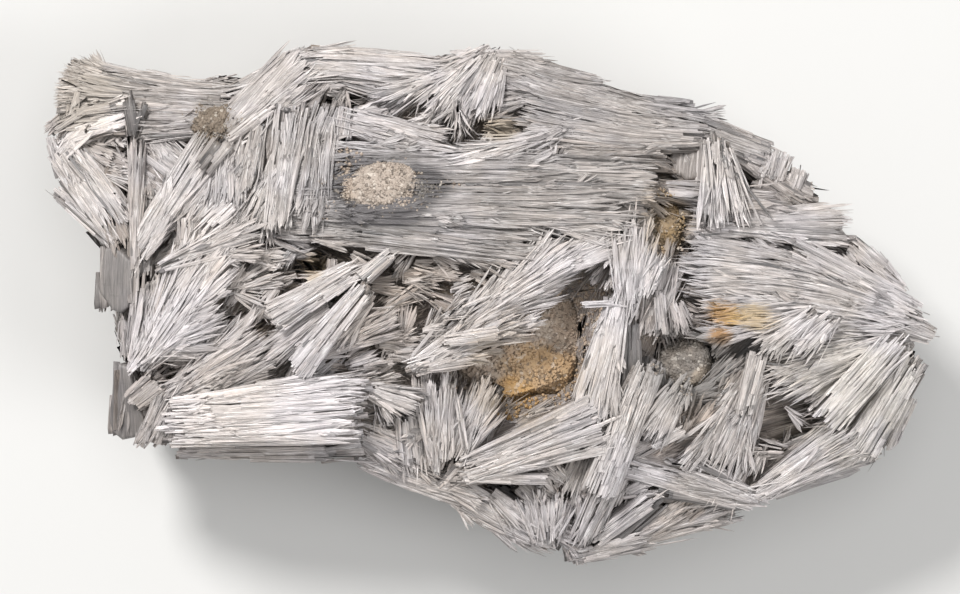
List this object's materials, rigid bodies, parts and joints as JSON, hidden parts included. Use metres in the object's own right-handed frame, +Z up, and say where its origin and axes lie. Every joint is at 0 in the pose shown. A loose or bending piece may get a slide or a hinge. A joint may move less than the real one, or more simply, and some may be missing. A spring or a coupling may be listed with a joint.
{
  "type": "tremolite specimen",
  "caption": "Hand-sized mineral specimen: intergrown sheaves of silky white tremolite blades on a little brown dolomite matrix.",
  "frame": {"origin": "middle of the footprint, on the surface the specimen lies on", "axes": "+X along the specimen's length towards its pointed end, +Y across it towards the edge with the arm, +Z up out of the display face"},
  "size_m": [0.1407, 0.0826, 0.0387],
  "materials": {
    "tremolite": "silky, from the broken ends and faces of fine blades",
    "dolomite": "dull and granular, stained ochre in places"
  },
  "bodies": {
    "root": {"tremolite_sheaves": "tremolite", "dolomite_pocket": "dolomite", "dolomite_crust_ridge": "dolomite", "dolomite_crust_right": "dolomite", "dolomite_crust_shoulder": "dolomite", "dolomite_crust_pillar": "dolomite"}
  },
  "joints": []
}
